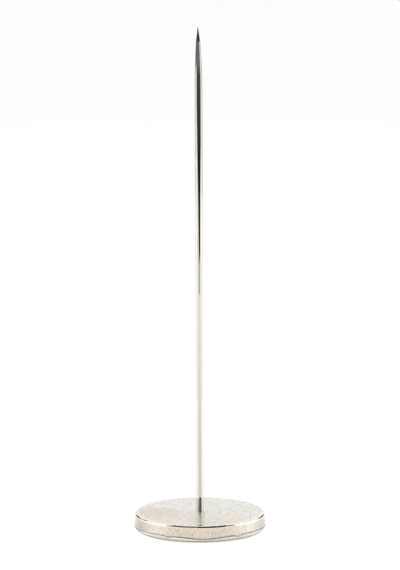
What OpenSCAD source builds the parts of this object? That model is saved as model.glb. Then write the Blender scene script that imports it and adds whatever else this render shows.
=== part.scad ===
// Receipt spike: a ground steel spike standing on a round, weighted, nickel-plated base.
// The base is pressed sheet: a cover fits over a shallow pan like the lid of a tin, and a cast
// ring of iron lies between them. The foot of the spike goes down through both pressings, and a
// nut in a well of the pan pulls the whole stack together. Felt covers the underside.
// Millimetres, +Z up. The origin is on the counter, under the spike.

/* [Base] */
// Diameter of the base, across the flared hem of the cover
base_d = 70; // [60:1:90]
// Height of the base, from the counter to its top face
base_h = 9; // [8:0.2:13]
// Thickness of the plated sheet that cover and pan are pressed from
sheet_t = 0.6; // [0.5:0.05:0.8]
// Outside radius of the bend between the top face and the wall of the cover
edge_r = 1.3; // [1:0.1:2]
// How far the hem flares out from the wall of the cover
hem_proud = 0.3; // [0.1:0.05:0.5]
// Height over which the wall flares out to its hem
flare_h = 2.6; // [1.4:0.1:2.8]
// How far the rounded edge of the hem stands out on both sides of the sheet
hem_bead = 0.05; // [0.02:0.01:0.1]

/* [Pan] */
// Height of the pan that shows below the hem
lip_h = 1.8; // [1.4:0.1:2.4]
// Outside radius of the bends of the pan
pan_bend_r = 0.9; // [0.85:0.05:1.2]
// Width of the foot ring under the rim of the pan
foot_w = 3; // [2.4:0.2:5]
// Inside diameter of the well that holds the nut
well_d = 14; // [12:0.5:18]

/* [Weight] */
// Chamfer on the edges of the iron ring
weight_chamfer = 0.8; // [0.4:0.1:1.2]

/* [Spike] */
// Diameter of the spike
spike_d = 4; // [3.8:0.1:6]
// Length of the spike above the top face of the base
spike_l = 257; // [150:1:300]
// Length of the ground point, with its tip
point_l = 27; // [15:1:45]
// How round the taper of the point is: 1 is a plain cone, more is rounder
taper_round = 1.4; // [1:0.1:2]
// Length of the steeper tip that ends the point
tip_l = 7.5; // [5:0.5:12]
// Diameter at which the taper goes over into the tip
tip_base_d = 2.3; // [1.6:0.1:3]
// Diameter of the blunt end of the tip
tip_d = 0.2; // [0.1:0.05:0.4]

/* [Fastening] */
// Diameter of the threaded foot of the spike
thread_d = 3; // [2.5:0.1:3.2]
// Length of thread that shows below the nut
thread_proud = 1; // [0.6:0.1:1.2]
// Outside diameter of the flat washer
washer_d = 7; // [6.5:0.1:9]
// Thickness of the flat washer
washer_t = 0.5; // [0.4:0.1:0.6]
// Outside diameter of the split lock washer
lock_d = 6.2; // [5.8:0.1:6.5]
// Thickness of the split lock washer
lock_t = 0.8; // [0.6:0.1:0.9]
// Width of the slanted split in the lock washer
lock_split = 0.6; // [0.4:0.1:1]
// Size of the nut across its flats
nut_af = 5.5; // [5:0.1:6]
// Height of the nut
nut_h = 2.4; // [2:0.1:2.6]

/* [Felt] */
// Thickness of the felt
felt_t = 1; // [0.9:0.05:1.4]
// How far the felt stands below the foot ring of the pan
felt_proud = 0.4; // [0.2:0.05:0.6]

/* [Clearances] */
// Radial clearance between the pan and the wall of the cover
sheet_fit = 0.05; // [0.02:0.01:0.2]
// Clearance between the rim of the pan and the bend of the cover above it
rim_fit = 0.3; // [0.1:0.05:0.6]
// Clearance round and over the iron ring
weight_fit = 0.3; // [0.1:0.05:0.5]
// Radial clearance of the threaded foot in sheet and washers
foot_fit = 0.1; // [0.05:0.05:0.2]
// Radial clearance of the threaded foot in the nut
thread_fit = 0.05; // [0.02:0.01:0.1]
// Clearance between the felt and the step round it
felt_fit = 0.3; // [0.1:0.1:0.6]

/* [Hidden] */
$fn = 96;

nickel = [0.84, 0.81, 0.75];
bright_steel = [0.70, 0.71, 0.72];
cast_iron = [0.24, 0.24, 0.25];
felt_green = [0.12, 0.20, 0.15];

// How far a cutter runs past the faces that it cuts
cut_past = 0.01;
// Number of bands that the round of the taper is turned in
taper_steps = 12;
// Slant of the split in the lock washer, and of the chamfer on the corners of the nut
split_slant = 20;
nut_chamfer_angle = 30;
hex_sides = 6;

// Radius of the rounded edge of the hem
hem_bead_r = sheet_t / 2 + hem_bead;

// Levels, from the counter upwards
foot_z = felt_proud;
floor_z = felt_t;
hem_z = foot_z + lip_h;
hem_mid_z = hem_z + hem_bead_r;
cover_under_z = base_h - sheet_t;
well_under_z = cover_under_z - sheet_t;
pan_top_z = base_h - edge_r - rim_fit;
lock_top_z = well_under_z - washer_t;
nut_top_z = lock_top_z - lock_t;
thread_end_z = nut_top_z - nut_h - thread_proud;
tip_z = base_h + spike_l;

// Radii of the cover, the pan and what lies in them
hem_r = base_d / 2;
wall_r = hem_r - hem_proud;
wall_in_r = wall_r - sheet_t;
pan_r = wall_in_r - sheet_fit;
pan_in_r = pan_r - sheet_t;
pan_bend_in_r = pan_bend_r - sheet_t;
foot_in_r = pan_r - foot_w;
well_r = well_d / 2;
well_out_r = well_r + sheet_t;
foot_hole_r = thread_d / 2 + foot_fit;
nut_hole_r = thread_d / 2 + thread_fit;

// Sections are drawn in the XY plane, X outwards and Y up, and turned about Z.

// A quarter of the sheet bent round a centre, in the quadrant that the two signs give
module bend(centre_x, centre_z, in_r, sign_x, sign_z) {
    out_r = in_r + sheet_t;
    translate([centre_x, centre_z]) intersection() {
        difference() {
            circle(out_r);
            circle(in_r);
        }
        translate([sign_x < 0 ? -out_r : 0, sign_z < 0 ? -out_r : 0]) square(out_r);
    }
}

// A straight stretch of a section between two corners
module stretch(x0, z0, x1, z1) {
    translate([x0, z0]) square([x1 - x0, z1 - z0]);
}

module cover_section() {
    edge_x = wall_r - edge_r;
    edge_z = base_h - edge_r;
    flare_z = hem_mid_z + flare_h;
    flare_r = hem_r - hem_bead;
    stretch(foot_hole_r, cover_under_z, edge_x, base_h);
    bend(edge_x, edge_z, edge_r - sheet_t, 1, 1);
    polygon([
        [wall_in_r, edge_z], [wall_in_r, flare_z], [flare_r - sheet_t, hem_mid_z],
        [flare_r, hem_mid_z], [wall_r, flare_z], [wall_r, edge_z]
    ]);
    translate([hem_r - hem_bead_r, hem_mid_z]) circle(hem_bead_r);
}

module pan_section() {
    rim_x = pan_r - pan_bend_r;
    rim_z = foot_z + pan_bend_r;
    floor_top_z = floor_z + sheet_t;
    well_bend_x = well_out_r + pan_bend_in_r;
    well_bend_z = floor_top_z + pan_bend_in_r;
    crown_x = well_out_r - pan_bend_r;
    crown_z = cover_under_z - pan_bend_r;
    stretch(pan_in_r, rim_z, pan_r, pan_top_z);
    bend(rim_x, rim_z, pan_bend_in_r, 1, -1);
    stretch(foot_in_r, foot_z, rim_x, foot_z + sheet_t);
    // The joggle that lifts the floor off the foot ring, to make room for the felt
    stretch(foot_in_r, foot_z, foot_in_r + sheet_t, floor_top_z);
    stretch(well_bend_x, floor_z, foot_in_r + sheet_t, floor_top_z);
    bend(well_bend_x, well_bend_z, pan_bend_in_r, -1, -1);
    stretch(well_r, well_bend_z, well_out_r, crown_z);
    bend(crown_x, crown_z, pan_bend_in_r, 1, 1);
    stretch(foot_hole_r, well_under_z, crown_x, cover_under_z);
}

module base_cover() {
    color(nickel) rotate_extrude() cover_section();
}

module base_pan() {
    color(nickel) rotate_extrude() pan_section();
}

module base_weight() {
    in_r = well_out_r + weight_fit;
    out_r = pan_in_r - weight_fit;
    bottom_z = floor_z + sheet_t;
    top_z = cover_under_z - weight_fit;
    c = weight_chamfer;
    color(cast_iron) rotate_extrude() polygon([
        [in_r + c, bottom_z], [out_r - c, bottom_z], [out_r, bottom_z + c], [out_r, top_z - c],
        [out_r - c, top_z], [in_r + c, top_z], [in_r, top_z - c], [in_r, bottom_z + c]
    ]);
}

// Radius of the taper at a share of its length, counted from the base of the tip
function taper_r(share) = spike_d / 2 - (spike_d - tip_base_d) / 2 * pow(1 - share, taper_round);

module spike() {
    taper_l = point_l - tip_l;
    shares = [for (i = [0 : taper_steps]) i / taper_steps];
    thread_r = thread_d / 2;
    thread_chamfer = thread_proud / 2;
    color(nickel) rotate_extrude() polygon(concat(
        [[0, tip_z], [tip_d / 2, tip_z]],
        [for (share = shares) [taper_r(share), tip_z - tip_l - share * taper_l]],
        [[spike_d / 2, base_h], [thread_r, base_h]],
        [[thread_r, thread_end_z + thread_chamfer], [thread_r - thread_chamfer, thread_end_z]],
        [[0, thread_end_z]]
    ));
}

// A ring that hangs below a level, bored to pass the threaded foot
module ring(out_r, top_z, thickness) {
    translate([0, 0, top_z - thickness]) difference() {
        cylinder(r = out_r, h = thickness);
        translate([0, 0, -cut_past]) cylinder(r = foot_hole_r, h = thickness + 2 * cut_past);
    }
}

module flat_washer() {
    color(bright_steel) ring(washer_d / 2, well_under_z, washer_t);
}

module lock_washer() {
    reach = lock_d / 2;
    color(bright_steel) difference() {
        ring(reach, lock_top_z, lock_t);
        translate([reach / 2, 0, lock_top_z - lock_t / 2])
            rotate([split_slant, 0, 0])
            cube([reach + 2 * cut_past, lock_split, 3 * lock_t], center = true);
    }
}

module spike_nut() {
    corner_r = nut_af / 2 / cos(180 / hex_sides);
    // The chamfer leaves a round face that just touches the flats
    chamfer_h = (corner_r - nut_af / 2) * tan(nut_chamfer_angle);
    color(bright_steel) translate([0, 0, nut_top_z - nut_h]) difference() {
        intersection() {
            cylinder(r = corner_r, h = nut_h, $fn = hex_sides);
            rotate_extrude() polygon([
                [0, 0], [nut_af / 2, 0], [corner_r, chamfer_h], [corner_r, nut_h - chamfer_h],
                [nut_af / 2, nut_h], [0, nut_h]
            ]);
        }
        translate([0, 0, -cut_past]) cylinder(r = nut_hole_r, h = nut_h + 2 * cut_past);
    }
}

module felt_pad() {
    color(felt_green) cylinder(r = foot_in_r - felt_fit, h = felt_t);
}

spike();
base_cover();
base_weight();
base_pan();
flat_washer();
lock_washer();
spike_nut();
felt_pad();
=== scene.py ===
import math

import bpy
from mathutils import Matrix, Vector, noise


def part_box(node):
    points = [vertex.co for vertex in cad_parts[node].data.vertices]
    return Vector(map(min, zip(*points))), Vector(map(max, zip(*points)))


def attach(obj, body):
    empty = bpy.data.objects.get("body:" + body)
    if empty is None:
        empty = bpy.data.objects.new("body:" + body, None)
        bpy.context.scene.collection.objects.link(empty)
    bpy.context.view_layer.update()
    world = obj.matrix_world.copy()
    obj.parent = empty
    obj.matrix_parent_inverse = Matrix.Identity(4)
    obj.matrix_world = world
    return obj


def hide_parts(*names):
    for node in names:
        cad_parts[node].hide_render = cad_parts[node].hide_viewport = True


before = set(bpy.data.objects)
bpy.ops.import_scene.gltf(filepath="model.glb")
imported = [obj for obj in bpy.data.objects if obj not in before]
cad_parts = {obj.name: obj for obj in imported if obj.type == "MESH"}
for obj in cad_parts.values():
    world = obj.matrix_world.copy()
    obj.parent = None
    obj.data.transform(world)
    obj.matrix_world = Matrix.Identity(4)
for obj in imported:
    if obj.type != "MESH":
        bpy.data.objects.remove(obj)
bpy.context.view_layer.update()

# Base cover
# A cap pressed from thin steel sheet and nickel plated: flat top, rounded edge, straight wall.
# Its lower hem is flared to slip over the pan, and runs a little unevenly, as it was worked by hand.
cover_low, cover_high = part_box("base_cover")
top_z = cover_high.z
sheet_t = 0.0006
hem_proud = 0.0003
wall_r = cover_high.x - hem_proud
wall_in_r = wall_r - sheet_t
edge_r = 0.0013
edge_at = (wall_r - edge_r, top_z - edge_r)
hem_r = sheet_t / 2
hem_at = (cover_high.x - hem_r, cover_low.z + hem_r)
flare_z = 0.0064
flare_out = 0.00025
flare_bend = 0.3
hem_start = math.degrees(math.acos((wall_r + flare_out - hem_at[0]) / hem_r))
foot_hole_r = 0.0016
sheet_sides = 360
top_rows = 0.0012
wall_rows = 0.0006
flare_rows = 0.0003
inside_rows = 0.0015
under_rows = 0.004
edge_steps = 14
hem_steps = 18
inside_steps = 6
edge_skin = 0.95
hem_skin = 1.05
crease_z = hem_at[1] + hem_r * math.sin(math.radians(hem_start))
crease_w = 0.00015
slide_none_z = 0.0044
slide_full_z = 0.0032
wall_dent = 0.00003
wall_dent_cells = (100, 100, 40)
top_dent = 0.00001
top_dent_cells = (60, 60, 0)
foot_dimple = 0.00004
foot_dimple_r = 0.0025
# Humps round the base: how much, and the middle and width in degrees from the front, more to the right.
# They say how far the hem drops, how far up its round it is painted dark, with dirt and painted shade of the
# gap under it, and where that dark is lighter.
hem_lift = 0.00025
hem_drops = [(0.00095, 5, 15), (0.00055, -29, 3), (0.00070, 35, 3), (0.00100, -78, 24), (0.00080, 80, 20)]
hem_shade_and_grime = [(0.6, -9, 7), (0.5, 24, 10), (-0.4, 4, 5), (0.9, -84, 14), (0.9, 84, 12)]
hem_less_dark = [(0.6, -55, 12)]
clean_nickel = (0.985, 0.99, 0.945)
straw_nickel = (0.945, 0.85, 0.70)
stained_nickel = (0.84, 0.765, 0.665)
worn_nickel = (0.64, 0.62, 0.58)
dull_nickel = (0.727, 0.722, 0.633)
painted_warm_nickel = (0.732, 0.647, 0.545)
painted_dark_nickel = (0.48, 0.44, 0.362)
hem_dirt_and_shade = (0.12, 0.10, 0.075)
straw_front_y = (0.003, -0.014)
straw_front_turn = 30
straw_front = 0.55
stain_middle = (-0.024, -0.004, 0.009)
stain_reach = (0.017, 0.015, 0.017)
stain_strength = 1.6
hairline = (1, 0.06, 0)
# Painted reflection: the wall is painted warmer towards the front, for the warm table it faces.
reflected_warm_front_y = (-0.020, -0.033)
# Painted reflection: the wall's left and right ends are painted darker.
painted_dark_left_x = (-0.0225, -0.0315)
painted_dark_right_x = (0.0272, 0.0336)
painted_dark_right = 0.92
top_to_wall_z = (0.0080, 0.0072)
wall_polish = 0.65
top_bare = 0.74
top_roughness = (0.12, 0.60)
edge_roughness = 0.06
dirt_and_shade_roughness = 0.7
scratch_depth = 0.0000006


def rows(start, end, spacing):
    """Places from start to end at about the given spacing."""
    count = max(1, round(abs(end - start) / spacing))
    return [start + (end - start) * i / count for i in range(count + 1)]


def arc(centre, radius, start, end, steps):
    """Points of an arc in an outline's plane, with angles in degrees from outwards to up."""
    turns = [math.radians(start + (end - start) * i / steps) for i in range(steps + 1)]
    return [(centre[0] + radius * math.cos(t), centre[1] + radius * math.sin(t)) for t in turns]


def drawn(name, places):
    """A new piece with a line through places, left in edit mode with all of it selected."""
    bpy.ops.object.select_all(action="DESELECT")
    bpy.ops.mesh.primitive_plane_add(size=0.001, location=places[0])
    bpy.ops.object.transform_apply(location=True, rotation=False, scale=False)
    piece = bpy.context.active_object
    piece.name = name
    bpy.ops.object.mode_set(mode="EDIT")
    bpy.ops.mesh.select_all(action="SELECT")
    bpy.ops.mesh.merge(type="CENTER")
    for here, there in zip(places, places[1:]):
        step = tuple(b - a for a, b in zip(here, there))
        bpy.ops.mesh.extrude_vertices_move(TRANSFORM_OT_translate={"value": step})
    bpy.ops.mesh.select_all(action="SELECT")
    return piece


def turned(name, outline, sides):
    """Draw an outline of (radius, height) points beside the Z axis and turn it once round."""
    piece = drawn(name, [(radius, 0, height) for radius, height in outline])
    bpy.ops.mesh.spin(steps=sides, angle=math.tau, center=(0, 0, 0), axis=(0, 0, 1))
    bpy.ops.mesh.select_all(action="SELECT")
    bpy.ops.mesh.remove_doubles(threshold=1e-6)
    bpy.ops.mesh.normals_make_consistent(inside=False)
    bpy.ops.object.mode_set(mode="OBJECT")
    return piece


def smooth(piece, angle=35):
    """Shade a piece smooth, except over edges sharper than an angle in degrees."""
    bpy.ops.object.select_all(action="DESELECT")
    piece.select_set(True)
    bpy.context.view_layer.objects.active = piece
    bpy.ops.object.shade_smooth_by_angle(angle=math.radians(angle))


def round_angle(x, y):
    """Degrees round the base from its front, more to the right."""
    return math.degrees(math.atan2(x, -y))


def swell(value, middle, width):
    """A soft hump, one at its middle."""
    return math.exp(-(((value - middle) / width) ** 2))


def humps(sizes, angle):
    """The sum of some humps round the base at an angle."""
    return sum(size * swell(angle, middle, width) for size, middle, width in sizes)


def share_of(value, start, end):
    """How far a value is from start to end, from none to one."""
    return min(1, max(0, (value - start) / (end - start)))


def uneven(place, cells):
    """A smooth, fixed noise from none to one, with a number of cells a metre along each axis."""
    return (noise.noise(Vector([p * c for p, c in zip(place, cells)])) + 1) / 2


def flare(z):
    """How far the wall has gone outwards at a height on its way down to the hem."""
    share = share_of(z, flare_z, hem_at[1])
    bent = share * share / 2 / flare_bend if share < flare_bend else share - flare_bend / 2
    return flare_out * bent / (1 - flare_bend / 2)


cover_outline = [(foot_hole_r, top_z - sheet_t)]
cover_outline += [(r, top_z) for r in rows(foot_hole_r, edge_at[0], top_rows)]
cover_outline += arc(edge_at, edge_r, 90, 0, edge_steps)[1:]
cover_outline += [(wall_r, z) for z in rows(edge_at[1], flare_z, wall_rows)[1:]]
cover_outline += [(wall_r + flare(z), z) for z in rows(flare_z, hem_at[1] + hem_r, flare_rows)[1:]]
cover_outline += arc(hem_at, hem_r, hem_start, -180, hem_steps)
cover_outline += [(wall_in_r + flare(z), z) for z in rows(hem_at[1], flare_z, wall_rows)[1:]]
cover_outline += [(wall_in_r, z) for z in rows(flare_z, edge_at[1], inside_rows)[1:-1]]
cover_outline += arc(edge_at, edge_r - sheet_t, 0, 90, inside_steps)
cover_outline += [(r, top_z - sheet_t) for r in rows(edge_at[0], foot_hole_r, under_rows)[1:]]
cover = turned("nickel_cover", cover_outline, sheet_sides)
worn = cover.data.attributes.new("worn", "FLOAT", "POINT")
dirt_and_shade = cover.data.attributes.new("dirt_and_shade", "FLOAT", "POINT")
for vertex in cover.data.vertices:
    x, y, z = vertex.co
    radius = math.hypot(x, y)
    angle = round_angle(x, y)
    near_edge = math.hypot(radius - edge_at[0], z - edge_at[1]) / edge_r
    near_hem = math.hypot(radius - hem_at[0], z - hem_at[1]) / hem_r
    on_edge = radius > edge_at[0] and z > edge_at[1] and near_edge > edge_skin
    on_hem = near_hem < hem_skin
    # The crease above the bead and the underside of the hem are marked dark: dirt, and painted shade of the
    # gap between cover and pan.
    shade_and_grime = swell(z, crease_z, crease_w) if radius > wall_r and z > hem_at[1] else 0
    if on_hem:
        shade_and_grime_z = hem_at[1] + hem_r * humps(hem_shade_and_grime, angle)
        shade_and_grime = max(shade_and_grime, share_of(z, shade_and_grime_z, shade_and_grime_z - hem_r / 2))
    dirt_and_shade.data[vertex.index].value = shade_and_grime * (1 - humps(hem_less_dark, angle))
    if on_edge or on_hem:
        worn.data[vertex.index].value = 1.0
    elif radius > edge_at[0] and z < edge_at[1]:
        worn.data[vertex.index].value = wall_polish
    if radius > edge_at[0] + edge_r / 2:
        vertex.co.xy *= 1 - wall_dent * uneven((x, y, z), wall_dent_cells) / radius
    vertex.co.z += (hem_lift - humps(hem_drops, angle)) * share_of(z, slide_none_z, slide_full_z)
    if z > top_z - sheet_t / 2 and radius < edge_at[0]:
        pulled = swell(radius, foot_hole_r, foot_dimple_r)
        vertex.co.z -= top_dent * uneven((x, y, z), top_dent_cells) + foot_dimple * pulled
smooth(cover)
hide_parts("base_cover")
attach(cover, "root")


def fresh_material(name):
    """A new material, its node tree and its shader."""
    material = bpy.data.materials.new(name)
    material.use_nodes = True
    return material, material.node_tree, material.node_tree.nodes["Principled BSDF"]


def place(tree, stretch=(1, 1, 1), turn=0, shift=(0, 0, 0)):
    """The piece's own coordinates, shifted, turned about Z by degrees and stretched."""
    coords = tree.nodes.new("ShaderNodeTexCoord")
    mapping = tree.nodes.new("ShaderNodeMapping")
    mapping.inputs["Location"].default_value = shift
    mapping.inputs["Rotation"].default_value = (0, 0, math.radians(turn))
    mapping.inputs["Scale"].default_value = stretch
    tree.links.new(coords.outputs["Object"], mapping.inputs["Vector"])
    return mapping.outputs["Vector"]


def split_place(tree, vector, axis):
    """One axis of a vector."""
    split = tree.nodes.new("ShaderNodeSeparateXYZ")
    tree.links.new(vector, split.inputs["Vector"])
    return split.outputs[axis]


def spread(tree, value, low, high, start=0.3, end=0.7):
    """Take the stretch of a value from start to end to the range from low to high."""
    ramp = tree.nodes.new("ShaderNodeMapRange")
    ramp.inputs["From Min"].default_value = start
    ramp.inputs["From Max"].default_value = end
    ramp.inputs["To Min"].default_value = low
    ramp.inputs["To Max"].default_value = high
    tree.links.new(value, ramp.inputs["Value"])
    return ramp.outputs["Result"]


def along(tree, axis, start, end, turn=0):
    """A share from none to one along an axis turned about Z, between two places in metres."""
    return spread(tree, split_place(tree, place(tree, turn=turn), axis), 0, 1, start, end)


def patch(tree, middle, reach):
    """A share that falls from one at a middle to none at the reach along each axis."""
    stretch = tuple(1 / r for r in reach)
    shift = tuple(-m / r for m, r in zip(middle, reach))
    ball = tree.nodes.new("ShaderNodeTexGradient")
    ball.gradient_type = "SPHERICAL"
    tree.links.new(place(tree, stretch, 0, shift), ball.inputs["Vector"])
    return ball.outputs["Fac"]


def grain(tree, cells, stretch=(1, 1, 1), detail=2.0, turn=0):
    """Noise on the piece's own coordinates, with a number of cells a metre."""
    texture = tree.nodes.new("ShaderNodeTexNoise")
    texture.inputs["Scale"].default_value = cells
    texture.inputs["Detail"].default_value = detail
    tree.links.new(place(tree, stretch, turn), texture.inputs["Vector"])
    return texture.outputs["Fac"]


def flecks(tree, cells, most, start, end, **kind):
    """A share that is none where the noise is below start, and at its most above end."""
    return spread(tree, grain(tree, cells, **kind), 0, most, start, end)


def joined(tree, operation, *values):
    """Sockets and numbers put together by one operation, kept from none to one."""
    total = values[0]
    for value in values[1:]:
        step = tree.nodes.new("ShaderNodeMath")
        step.operation = operation
        step.use_clamp = True
        tree.links.new(total, step.inputs[0])
        if isinstance(value, float):
            step.inputs[1].default_value = value
        else:
            tree.links.new(value, step.inputs[1])
        total = step.outputs["Value"]
    return total


def mixed(tree, kind, share, plain, changed):
    """Goes from plain to changed with a share. Each may be a number, a colour or a socket."""
    mix = tree.nodes.new("ShaderNodeMix")
    mix.data_type = kind
    for side, value in (("A", plain), ("B", changed)):
        if isinstance(value, tuple):
            mix.inputs[side].default_value = (*value, 1)
        elif isinstance(value, float):
            mix.inputs[side].default_value = value
        else:
            tree.links.new(value, mix.inputs[side])
    tree.links.new(share, mix.inputs["Factor"])
    return mix.outputs["Result"]


def tinted(tree, share, clean, stained):
    """A colour that goes from clean to stained with a share."""
    return mixed(tree, "RGBA", share, clean, stained)


def raised(tree, height, depth):
    """Bump of the given depth in metres."""
    bump = tree.nodes.new("ShaderNodeBump")
    bump.inputs["Distance"].default_value = depth
    tree.links.new(height, bump.inputs["Height"])
    return bump.outputs["Normal"]


def attribute(tree, name):
    """A value that the mesh carries at its points."""
    values = tree.nodes.new("ShaderNodeAttribute")
    values.attribute_name = name
    return values.outputs["Fac"]


cover_nickel, tree, shader = fresh_material("cover_nickel")
front = joined(tree, "MULTIPLY", along(tree, "Y", *straw_front_y, turn=straw_front_turn), straw_front)
clouds = flecks(tree, cells=70, most=0.25, start=0.45, end=0.70, detail=6)
streaks = flecks(tree, cells=1100, most=0.50, start=0.40, end=0.75, stretch=(1, 0.2, 0), detail=3, turn=25)
top_colour = tinted(tree, joined(tree, "ADD", front, clouds, streaks), clean_nickel, straw_nickel)
stain = joined(tree, "MULTIPLY", patch(tree, stain_middle, stain_reach), stain_strength)
top_colour = tinted(tree, stain, top_colour, stained_nickel)
mottle = flecks(tree, cells=350, most=0.25, start=0.36, end=0.70, detail=4)
hairlines = flecks(tree, cells=1800, most=0.45, start=0.44, end=0.70, stretch=hairline, detail=3, turn=22)
cross_lines = flecks(tree, cells=1700, most=0.40, start=0.46, end=0.70, stretch=hairline, detail=3, turn=-38)
top_wear = joined(tree, "ADD", mottle, hairlines, cross_lines)
top_colour = tinted(tree, top_wear, top_colour, worn_nickel)
# The wall is painted warmer towards the front, a painted reflection of the warm table before it.
wall_colour = tinted(tree, along(tree, "Y", *reflected_warm_front_y), dull_nickel, painted_warm_nickel)
# The wall's left and right ends are painted darker, a painted reflection of darker things beside and behind
# the base.
painted_left_end = along(tree, "X", *painted_dark_left_x)
painted_right_end = joined(tree, "MULTIPLY", along(tree, "X", *painted_dark_right_x), painted_dark_right)
wall_colour = tinted(tree, joined(tree, "ADD", painted_left_end, painted_right_end), wall_colour, painted_dark_nickel)
brushing = flecks(tree, cells=2000, most=0.36, start=0.42, end=0.72, stretch=(1, 1, 0.3), detail=3)
wall_colour = tinted(tree, brushing, wall_colour, hem_dirt_and_shade)
sheet_colour = tinted(tree, along(tree, "Z", *top_to_wall_z), top_colour, wall_colour)
crumbs = spread(tree, grain(tree, cells=700, detail=3), low=0.4, high=1)
# The hem's dark line is dirt and painted shade: dark, dull and less metallic.
shade_and_grime = joined(tree, "MULTIPLY", attribute(tree, "dirt_and_shade"), crumbs)
tree.links.new(tinted(tree, shade_and_grime, sheet_colour, hem_dirt_and_shade), shader.inputs["Base Color"])
bare = spread(tree, attribute(tree, "worn"), top_bare, 1, 0, wall_polish)
clear_of_shade_and_grime = spread(tree, shade_and_grime, low=1, high=0, start=0, end=1)
tree.links.new(joined(tree, "MULTIPLY", bare, clear_of_shade_and_grime), shader.inputs["Metallic"])
pits = spread(tree, grain(tree, cells=5000, detail=1), *top_roughness, start=0.37, end=0.62)
polish = mixed(tree, "FLOAT", attribute(tree, "worn"), pits, edge_roughness)
tree.links.new(mixed(tree, "FLOAT", shade_and_grime, polish, dirt_and_shade_roughness), shader.inputs["Roughness"])
scratches = grain(tree, cells=2500, stretch=(1, 0.03, 0), turn=-35)
tree.links.new(raised(tree, scratches, scratch_depth), shader.inputs["Normal"])
cover.data.materials.append(cover_nickel)

# Base weight
# A ring of cast iron that lies loose between cover and pan and keeps the tall spike upright.
# It is as cast, dark grey and grainy.
iron_dark = (0.035, 0.035, 0.037)
iron_pale = (0.085, 0.08, 0.078)
iron_roughness = (0.55, 0.85)
iron_metallic = 0.5
sand_depth = 0.00012


def dress(node, material):
    """Give a CAD piece that is kept as it is a material of its own."""
    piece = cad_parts[node]
    piece.data.materials.clear()
    piece.data.materials.append(material)


cast_iron, tree, shader = fresh_material("cast_iron")
sand = grain(tree, cells=1500, detail=6)
iron_colour = tinted(tree, spread(tree, sand, 0, 1), iron_dark, iron_pale)
tree.links.new(iron_colour, shader.inputs["Base Color"])
tree.links.new(spread(tree, sand, *iron_roughness), shader.inputs["Roughness"])
tree.links.new(raised(tree, sand, sand_depth), shader.inputs["Normal"])
shader.inputs["Metallic"].default_value = iron_metallic
dress("base_weight", cast_iron)

# Base pan
# A shallow pan pressed from the same plated sheet, which the cover fits over like the lid of a tin.
# Its rounded rim shows below the hem. It has a foot ring, a raised floor and a well for the nut.
pan_low, pan_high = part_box("base_pan")
pan_r = pan_high.x
pan_in_r = pan_r - sheet_t
pan_wall_top = 0.0074
pan_bend = 0.0009
pan_bend_in = pan_bend - sheet_t
rim_at = (pan_r - pan_bend, pan_low.z + pan_bend)
foot_w = 0.003
foot_in_r = pan_r - foot_w
floor_low = 0.0010
floor_high = floor_low + sheet_t
well_r = 0.0070
well_out_r = well_r + sheet_t
well_bend_at = (well_out_r + pan_bend_in, floor_high + pan_bend_in)
crown_at = (well_out_r - pan_bend, pan_high.z - pan_bend)
step_r = 0.00025
crown_rows = 0.0015
floor_rows = 0.003
lip_rows = 0.0004
bend_steps = 8
bend_in_steps = 5
step_steps = 4
rim_steps = 10
sag_none_z = 0.0020
sag_full_z = 0.0008
pan_sag = [(0.00030, 50, 18)]
lip_nickel = (0.76, 0.735, 0.645)
lip_straw = (0.71, 0.645, 0.545)
lip_roughness = (0.12, 0.30)
lip_line_depth = 0.0000006

pan_outline = [(foot_hole_r, pan_high.z - sheet_t)]
pan_outline += [(r, pan_high.z) for r in rows(foot_hole_r, crown_at[0], crown_rows)]
pan_outline += arc(crown_at, pan_bend, 90, 0, bend_steps)[1:]
pan_outline += arc(well_bend_at, pan_bend_in, 180, 270, bend_in_steps)
pan_outline += [(r, floor_high) for r in rows(well_bend_at[0], foot_in_r, floor_rows)[1:]]
pan_outline += arc((foot_in_r + sheet_t - step_r, floor_high - step_r), step_r, 90, 0, step_steps)
pan_outline += [(foot_in_r + sheet_t, pan_low.z + sheet_t)]
pan_outline += arc(rim_at, pan_bend_in, 270, 360, bend_in_steps)
pan_outline += [(pan_in_r, pan_wall_top), (pan_r, pan_wall_top)]
pan_outline += [(pan_r, z) for z in rows(pan_wall_top, rim_at[1], lip_rows)[1:-1]]
pan_outline += arc(rim_at, pan_bend, 0, -90, rim_steps)
pan_outline += arc((foot_in_r + step_r, pan_low.z + step_r), step_r, 270, 180, step_steps)
pan_outline += [(foot_in_r, floor_low)]
pan_outline += [(r, floor_low) for r in rows(foot_in_r, well_bend_at[0], floor_rows)[1:-1]]
pan_outline += arc(well_bend_at, pan_bend, 270, 180, bend_steps)
pan_outline += arc(crown_at, pan_bend_in, 0, 90, bend_in_steps)
pan_outline += [(foot_hole_r, pan_high.z - sheet_t)]
pan = turned("nickel_pan", pan_outline, sheet_sides)
for vertex in pan.data.vertices:
    x, y, z = vertex.co
    if math.hypot(x, y) > foot_in_r + sheet_t:
        vertex.co.z -= humps(pan_sag, round_angle(x, y)) * share_of(z, sag_none_z, sag_full_z)
smooth(pan)
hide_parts("base_pan")
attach(pan, "root")
pan_nickel, tree, shader = fresh_material("pan_nickel")
shader.inputs["Metallic"].default_value = 1.0
clouds = flecks(tree, cells=90, most=0.5, start=0.35, end=0.70, detail=5)
tree.links.new(tinted(tree, clouds, lip_nickel, lip_straw), shader.inputs["Base Color"])
pits = spread(tree, grain(tree, cells=5000, detail=1), *lip_roughness)
tree.links.new(pits, shader.inputs["Roughness"])
lip_lines = grain(tree, cells=2500, stretch=(1, 1, 0.05))
tree.links.new(raised(tree, lip_lines, lip_line_depth), shader.inputs["Normal"])
pan.data.materials.append(pan_nickel)

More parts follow.
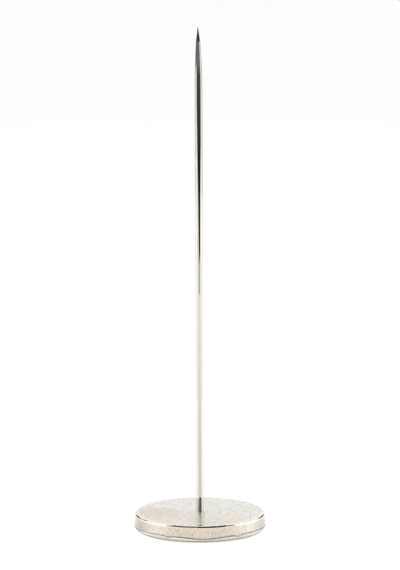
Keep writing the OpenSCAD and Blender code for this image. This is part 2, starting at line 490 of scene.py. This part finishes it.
# Spike
# A drawn steel rod, nickel plated, and ground by hand to a slim taper with a steeper tip.
# Its foot is turned down and threaded, goes down through cover and pan and takes the nut.
spike_low, spike_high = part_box("spike")
spike_r = spike_high.x
spike_sides = 96
tip_z = spike_high.z
tip_r = 0.0001
tip_l = 0.0075
tip_base_r = 0.00115
tip_lean = 0.00025
tip_rows = 0.0005
point_l = 0.027
taper_z = tip_z - point_l
taper_round = 1.4
taper_rows = 0.0006
shank_rows = 0.004
grind_depth = 0.00004
grind_cells = (1.6, 1.6, 120)
grind_share = 1 / 6
grind_run_in = 0.004
foot_rounding = 0.0001
foot_steps = 5
thread_r = 0.0015
thread_pitch = 0.0005
thread_depth = 0.0003
thread_chamfer = 0.0005
thread_runout = 0.0009
thread_top = top_z - thread_runout
rows_per_turn = 8
thread_rows = thread_pitch / rows_per_turn
thread_skin = 0.9
spike_nickel_colour = (0.66, 0.645, 0.60)
spike_stain = (0.61, 0.58, 0.52)
spike_foot_highlight = (0.90, 0.88, 0.82)
spike_foot_painted_dark = (0.42, 0.385, 0.33)
spike_painted_core = (0.50, 0.46, 0.39)
highlight_foot_z = (0.0163, 0.0157)
painted_core_middle = (0.0001, -0.002, 0.0)
painted_core_reach = (0.0013, 0.002, 0.10)
painted_stripe_middle = (0.0001, -0.002, 0.01)
painted_stripe_reach = (0.0009, 0.002, 0.03)
painted_stripe_strength = 2.5
drawn_roughness = (0.02, 0.06)
ground_roughness = (0.10, 0.24)
drawn_line_depth = 0.0000003

spike_outline = [(0, spike_low.z), (thread_r - thread_chamfer, spike_low.z)]
spike_outline += [(thread_r, z) for z in rows(spike_low.z + thread_chamfer, top_z, thread_rows)]
spike_outline += arc((spike_r - foot_rounding, top_z + foot_rounding), foot_rounding, 270, 360, foot_steps)
spike_outline += [(spike_r, z) for z in rows(top_z + foot_rounding, taper_z, shank_rows)[1:]]
for z in rows(taper_z, tip_z - tip_l, taper_rows)[1:]:
    share = (tip_z - tip_l - z) / (point_l - tip_l)
    spike_outline.append((spike_r - (spike_r - tip_base_r) * (1 - share) ** taper_round, z))
for z in rows(tip_z - tip_l, tip_z, tip_rows)[1:]:
    spike_outline.append((tip_r + (tip_base_r - tip_r) * (tip_z - z) / tip_l, z))
spike_outline.append((0, tip_z))
spike = turned("nickel_spike", spike_outline, spike_sides)
for vertex in spike.data.vertices:
    x, y, z = vertex.co
    radius = math.hypot(x, y)
    if spike_low.z < z < thread_top and radius > thread_r * thread_skin:
        turn = z / thread_pitch - math.atan2(y, x) / math.tau
        fade = min(1, (thread_top - z) / thread_pitch)
        cut = thread_depth * fade * abs(2 * (turn % 1) - 1)
        vertex.co.xy *= (thread_r - cut) / radius
    if z > taper_z and radius > 0:
        into_point = share_of(z, taper_z, tip_z)
        flats = uneven((x / radius, y / radius, z), grind_cells)
        vertex.co.xy *= 1 - grind_depth * flats * min(1, into_point / grind_share) / spike_r
        vertex.co.x -= tip_lean * into_point ** 2
smooth(spike)
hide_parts("spike")
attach(spike, "root")
spike_nickel, tree, shader = fresh_material("spike_nickel")
shader.inputs["Metallic"].default_value = 1.0
stains = flecks(tree, cells=60, most=0.8, start=0.42, end=0.70, stretch=(1, 1, 0.4), detail=5)
spike_colour = tinted(tree, stains, spike_nickel_colour, spike_stain)
# A narrow strip down the front of the spike is painted darker, most near the foot: a painted reflection of
# the dark room.
painted_core = patch(tree, painted_core_middle, painted_core_reach)
spike_colour = tinted(tree, painted_core, spike_colour, spike_painted_core)
# Low on the spike, over the base, the plating is painted lighter, a painted highlight, with a darker stripe
# down its front, a painted reflection of the dark room.
painted_stripe = joined(tree, "MULTIPLY", patch(tree, painted_stripe_middle, painted_stripe_reach), painted_stripe_strength)
painted_foot_colour = tinted(tree, painted_stripe, spike_foot_highlight, spike_foot_painted_dark)
spike_colour = tinted(tree, along(tree, "Z", *highlight_foot_z), spike_colour, painted_foot_colour)
tree.links.new(spike_colour, shader.inputs["Base Color"])
drawn_lines = grain(tree, cells=2600, stretch=(1, 1, 0.01))
ground_lines = grain(tree, cells=9000, stretch=(0.05, 0.05, 1))
drawn_polish = spread(tree, drawn_lines, *drawn_roughness)
ground_polish = spread(tree, ground_lines, *ground_roughness)
ground = along(tree, "Z", taper_z, taper_z + grind_run_in)
tree.links.new(mixed(tree, "FLOAT", ground, drawn_polish, ground_polish), shader.inputs["Roughness"])
tree.links.new(raised(tree, drawn_lines, drawn_line_depth), shader.inputs["Normal"])
spike.data.materials.append(spike_nickel)

# Washers and nut
# A plain washer, a split lock washer and a hex nut, all zinc plated steel, which hold the spike.
# They sit in the well of the pan, where the felt hides them.
zinc_pale = (0.60, 0.61, 0.62)
zinc_dull = (0.50, 0.51, 0.50)
zinc_roughness = (0.25, 0.45)
zinc_grain_depth = 0.000004

zinc, tree, shader = fresh_material("zinc_plate")
shader.inputs["Metallic"].default_value = 1.0
spangle = grain(tree, cells=900, detail=4)
zinc_colour = tinted(tree, spread(tree, spangle, 0, 1), zinc_pale, zinc_dull)
tree.links.new(zinc_colour, shader.inputs["Base Color"])
tree.links.new(spread(tree, spangle, *zinc_roughness), shader.inputs["Roughness"])
zinc_grain = grain(tree, cells=4000, stretch=(1, 1, 4))
tree.links.new(raised(tree, zinc_grain, zinc_grain_depth), shader.inputs["Normal"])
for node in ("flat_washer", "lock_washer", "spike_nut"):
    dress(node, zinc)

# Felt pad
# A disc of pressed wool felt, glued under the pan to spare the counter and hide the nut.
# Its lower face is a little fuzzy and its cut edge is soft.
felt_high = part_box("felt_pad")[1]
felt_r = felt_high.x
felt_sides = 240
felt_edge = 0.0003
felt_edge_steps = 4
felt_edge_rows = 0.0003
felt_fuzz = 0.00006
felt_low_rows = 0.0007
felt_high_rows = 0.004
felt_smooth = 60
tuft_cells = (900, 900, 900)
felt_dark = (0.015, 0.05, 0.03)
felt_pale = (0.05, 0.115, 0.07)
felt_roughness = 0.95
felt_sheen = 0.3
fibre_depth = 0.00015

felt_outline = [(r, 0) for r in rows(0, felt_r - felt_edge, felt_low_rows)]
felt_outline += arc((felt_r - felt_edge, felt_edge), felt_edge, -70, 0, felt_edge_steps)
felt_outline += [(felt_r, z) for z in rows(felt_edge, felt_high.z, felt_edge_rows)[1:]]
felt_outline += [(r, felt_high.z) for r in rows(felt_r, 0, felt_high_rows)[1:]]
felt = turned("felt_disc", felt_outline, felt_sides)
for vertex in felt.data.vertices:
    x, y, z = vertex.co
    tuft = uneven((x, y, z), tuft_cells)
    if z < felt_edge / 2:
        vertex.co.z += felt_fuzz * tuft
    elif math.hypot(x, y) > felt_r - felt_edge / 2:
        vertex.co.xy *= 1 - 2 * felt_fuzz * tuft / felt_r
smooth(felt, felt_smooth)
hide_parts("felt_pad")
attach(felt, "root")
green_felt, tree, shader = fresh_material("green_felt")
fibres = grain(tree, cells=2600, detail=6)
felt_colour = tinted(tree, spread(tree, fibres, 0, 1), felt_dark, felt_pale)
tree.links.new(felt_colour, shader.inputs["Base Color"])
shader.inputs["Roughness"].default_value = felt_roughness
shader.inputs["Sheen Weight"].default_value = felt_sheen
tree.links.new(raised(tree, fibres, fibre_depth), shader.inputs["Normal"])
felt.data.materials.append(green_felt)

# Floor
# A sweep of white paper, lit from both sides, with a painted glow that is brightest there and a little
# brighter in front.
# Seen by the camera and in the metal its glow makes it plain white, and ambient occlusion darkens that glow
# under the rim, a painted contact shadow.
floor_size = 24
floor_back = 4
floor_albedo = (0.75, 0.75, 0.75, 1)
floor_glow = 0.53
side_glow = 0.36
side_from = (0.70, 0.97)
near_share = 0.6
near_reach = (0.03, 0.12)
front_glow = 0.05
front_from = (-0.5, 0)
contact_reach = 0.0009
contact_depth = 0.88


def empty_material(name):
    """A new material with an empty node tree."""
    material, tree, shader = fresh_material(name)
    tree.nodes.clear()
    return material, tree


def show(tree, look):
    """Make a look the surface of the material."""
    out = tree.nodes.new("ShaderNodeOutputMaterial")
    tree.links.new(look, out.inputs["Surface"])


def seen_in_picture(tree):
    """One for rays from the camera and for those that metal or glass sends on, or else none."""
    path = tree.nodes.new("ShaderNodeLightPath")
    rays = ("Is Camera Ray", "Is Glossy Ray", "Is Transmission Ray")
    return joined(tree, "MAXIMUM", *[path.outputs[ray] for ray in rays])


bpy.ops.object.select_all(action="DESELECT")
bpy.ops.mesh.primitive_plane_add(size=1, location=(0, 0, 0))
floor = bpy.context.active_object
floor.name = "paper_floor"
bpy.ops.transform.resize(value=(floor_size, floor_size, 1))
bpy.ops.transform.translate(value=(0, floor_back, 0))
bpy.ops.object.transform_apply(location=True, rotation=False, scale=True)
paper, tree = empty_material("white_paper")
lit = tree.nodes.new("ShaderNodeBsdfDiffuse")
lit.inputs["Color"].default_value = floor_albedo
direction = tree.nodes.new("ShaderNodeVectorMath")
direction.operation = "NORMALIZE"
tree.links.new(place(tree), direction.inputs[0])
aside = tree.nodes.new("ShaderNodeMath")
aside.operation = "ABSOLUTE"
tree.links.new(split_place(tree, direction.outputs["Vector"], "X"), aside.inputs[0])
reach = tree.nodes.new("ShaderNodeVectorMath")
reach.operation = "LENGTH"
tree.links.new(place(tree), reach.inputs[0])
# Painted pools of light: the glow is stronger at the sides, further out, and in front.
away = spread(tree, reach.outputs["Value"], near_share, 1, *near_reach)
beside = spread(tree, aside.outputs["Value"], 0, side_glow, *side_from)
sideways = joined(tree, "MULTIPLY", beside, away)
ahead = spread(tree, split_place(tree, direction.outputs["Vector"], "Y"), front_glow, 0, *front_from)
pools = joined(tree, "ADD", sideways, ahead, floor_glow)
# Ambient occlusion darkens the glow near the rim: a painted contact shadow.
contact = tree.nodes.new("ShaderNodeAmbientOcclusion")
contact.inputs["Distance"].default_value = contact_reach
open_share = spread(tree, contact.outputs["AO"], 1 - contact_depth, 1, 0, 1)
glow = tree.nodes.new("ShaderNodeEmission")
light = joined(tree, "MULTIPLY", pools, open_share, seen_in_picture(tree))
tree.links.new(light, glow.inputs["Strength"])
both = tree.nodes.new("ShaderNodeAddShader")
tree.links.new(lit.outputs["BSDF"], both.inputs[0])
tree.links.new(glow.outputs["Emission"], both.inputs[1])
show(tree, both.outputs["Shader"])
floor.data.materials.append(paper)

# Studio
# White all round, with a soft box on each side and the dark of the room behind the camera.
# The cards show only in the metal, where they draw the lines along its edges.
studio_fill = 0.6
box_energy = 6.5
box_height = 2.0
box_length = 1.52
box_x = 1.4
box_z = 1.05
box_back_x = 1.42
box_back_z = (0.05, 2.05)
box_back_grey = 0.5
black = 0.0
near_black = 0.02
gap_black = 0.03
# The near cards stand round the front of the base, and the far ones behind the camera.
near_r = 0.1
room_step_r = 0.103
dark_foot = [(-59, 0.2194), (-44, 0.1963), (-17, 0.1611), (-6, 0.1304)]
dark_foot += [(8, 0.1277), (33, 0.1341), (42, 0.1651), (63, 0.1963), (64, 0.2194)]
dark_z = 0.2446
dark_grey = 0.09
dark_foot_grey = 0.006
dark_fade_z = (0.17, 0.235)
room_step_turns = (-8, 22)
room_step_z = (0.1112, 0.136)
room_step_grey = 0.50
stripe_turns = (-47, -24, 0, 24, 57)
stripe_z = 0.275
stripe_grey = 0.23
tip_turns = (-51, -25, 3, 32, 62)
tip_card_z = 0.33
edge_card_r = 0.0358
edge_card_turns = (-16, 0, 16, 34)
edge_card_z = (0.0085, 0.0094)
wall_y = -1.34
wall_end_y = -1.38
low_x = (-0.10, 1.35)
low_z = (0.06, 0.5)
above_foot = [(-2.5, wall_end_y), (-0.61, wall_y), (0.76, wall_y), (2.3, wall_end_y)]
above_z = 3.2
table_x = (-0.95, -0.19)
table_z = (0.04, 0.2)
high_x = ((-0.85, -0.25), (0.38, 1.1))
high_y = -0.3
high_z = (0.75, 2.3)
# Cards beside the tip and the gaps between the soft boxes and the back.
beside_z = (0.2437, 0.268, 0.292)
left_grey = 0.15
side_grey = 0.07
left_gap_foot = [(-1.32, 0.62), (-1.26, 0.985)]
left_gap_z = (0.35, 1.0)
back_gap_foot = [(1.26, 0.985), (0.70, 1.44)]
back_gap_z = 0.58
back_gap_grey = 0.12

studio = bpy.data.worlds.new("white_studio")
bpy.context.scene.world = studio
studio.use_nodes = True
tree = studio.node_tree
surround = tree.nodes["Background"]
surround.inputs["Color"].default_value = (1, 1, 1, 1)
tree.links.new(spread(tree, seen_in_picture(tree), studio_fill, 1, 0, 1), surround.inputs["Strength"])


def card(name, foot, high, grey, foot_grey=None):
    """A card that stands on a line of places, up to a high edge, and shows only in the metal."""
    panel = drawn(name, foot)
    bpy.ops.mesh.extrude_edges_move(TRANSFORM_OT_translate={"value": (0, 0, high)})
    bpy.ops.object.mode_set(mode="OBJECT")
    for vertex in panel.data.vertices:
        if vertex.select:
            vertex.co.z = high
    panel.visible_camera = False
    panel.visible_diffuse = False
    panel.visible_shadow = False
    material, tree = empty_material(name)
    glow = tree.nodes.new("ShaderNodeEmission")
    glow.inputs["Strength"].default_value = grey
    if foot_grey is not None:
        fade = spread(tree, split_place(tree, place(tree), "Z"), foot_grey, grey, *dark_fade_z)
        tree.links.new(fade, glow.inputs["Strength"])
    show(tree, glow.outputs["Emission"])
    panel.data.materials.append(material)


def round_front(radius, *corners):
    """Places round the front of the base, from pairs of degrees off its middle and a height."""
    turns = [(math.radians(angle), height) for angle, height in corners]
    return [(radius * math.sin(turn), -radius * math.cos(turn), height) for turn, height in turns]


def level_front(radius, turns, height):
    """Places round the front of the base at one height."""
    return round_front(radius, *[(turn, height) for turn in turns])


def across(ends, y, height):
    """Two places across the picture at one height."""
    return [(x, y, height) for x in ends]


def beside_tip(side, height):
    """Places beside the spike at one height, on the left for -1 and on the right for 1."""
    return [(side * 0.08, -0.088, height), (side * 0.12, 0, height), (side * 0.08, 0.088, height)]


card("room_dark", round_front(near_r, *dark_foot), dark_z, dark_grey, dark_foot_grey)
card("room_step", level_front(room_step_r, room_step_turns, room_step_z[0]), room_step_z[1], room_step_grey)
card("room_stripe", level_front(near_r, stripe_turns, dark_z), stripe_z, stripe_grey)
card("room_tip", level_front(near_r, tip_turns, stripe_z), tip_card_z, near_black)
card("room_low", across(low_x, wall_y, low_z[0]), low_z[1], black)
card("room_edge", level_front(edge_card_r, edge_card_turns, edge_card_z[0]), edge_card_z[1], gap_black)
card("room_above", [(x, y, low_z[1]) for x, y in above_foot], above_z, near_black)
card("room_table", across(table_x, wall_y, table_z[0]), table_z[1], near_black)
for ends in high_x:
    card("room_high", across(ends, high_y, high_z[0]), high_z[1], near_black)
card("left_gap", [(x, y, left_gap_z[0]) for x, y in left_gap_foot], left_gap_z[1], gap_black)
card("left_grey", beside_tip(-1, beside_z[0]), beside_z[1], left_grey)
for side in (-1, 1):
    card("side_dark", beside_tip(side, beside_z[1]), beside_z[2], side_grey)
    card("back_gap", [(side * x, y, 0) for x, y in back_gap_foot], back_gap_z, back_gap_grey)
    box_back = [(side * box_back_x, y, box_back_z[0]) for y in (-box_length / 2, box_length / 2)]
    card("box_back", box_back, box_back_z[1], box_back_grey)
    lamp = bpy.data.lights.new("side_box", "AREA")
    lamp.shape = "RECTANGLE"
    lamp.size = box_height
    lamp.size_y = box_length
    lamp.energy = box_energy
    soft_box = bpy.data.objects.new("side_box", lamp)
    bpy.context.scene.collection.objects.link(soft_box)
    soft_box.location = (side * box_x, 0, box_z)
    soft_box.rotation_euler = (0, side * math.radians(90), 0)

# Camera
# The photograph's view: a long lens a little above the tip of the spike, rolled a hair.
camera_distance = 1.4645
camera_elevation = math.radians(8.3254)
camera_roll = -0.0033
camera_aim = (0.00045, 0, 0.13066)
focal_mm = 175.8
sensor_mm = 36
lens = bpy.data.cameras.new("camera")
lens.lens = focal_mm
lens.sensor_width = sensor_mm
camera = bpy.data.objects.new("camera", lens)
bpy.context.scene.collection.objects.link(camera)
camera.location = (
    camera_aim[0],
    -camera_distance * math.cos(camera_elevation),
    camera_aim[2] + camera_distance * math.sin(camera_elevation),
)
tilt = Matrix.Rotation(math.pi / 2 - camera_elevation, 3, "X")
camera.rotation_euler = (tilt @ Matrix.Rotation(camera_roll, 3, "Z")).to_euler()
bpy.context.scene.camera = camera
bpy.context.scene.view_settings.view_transform = "Standard"
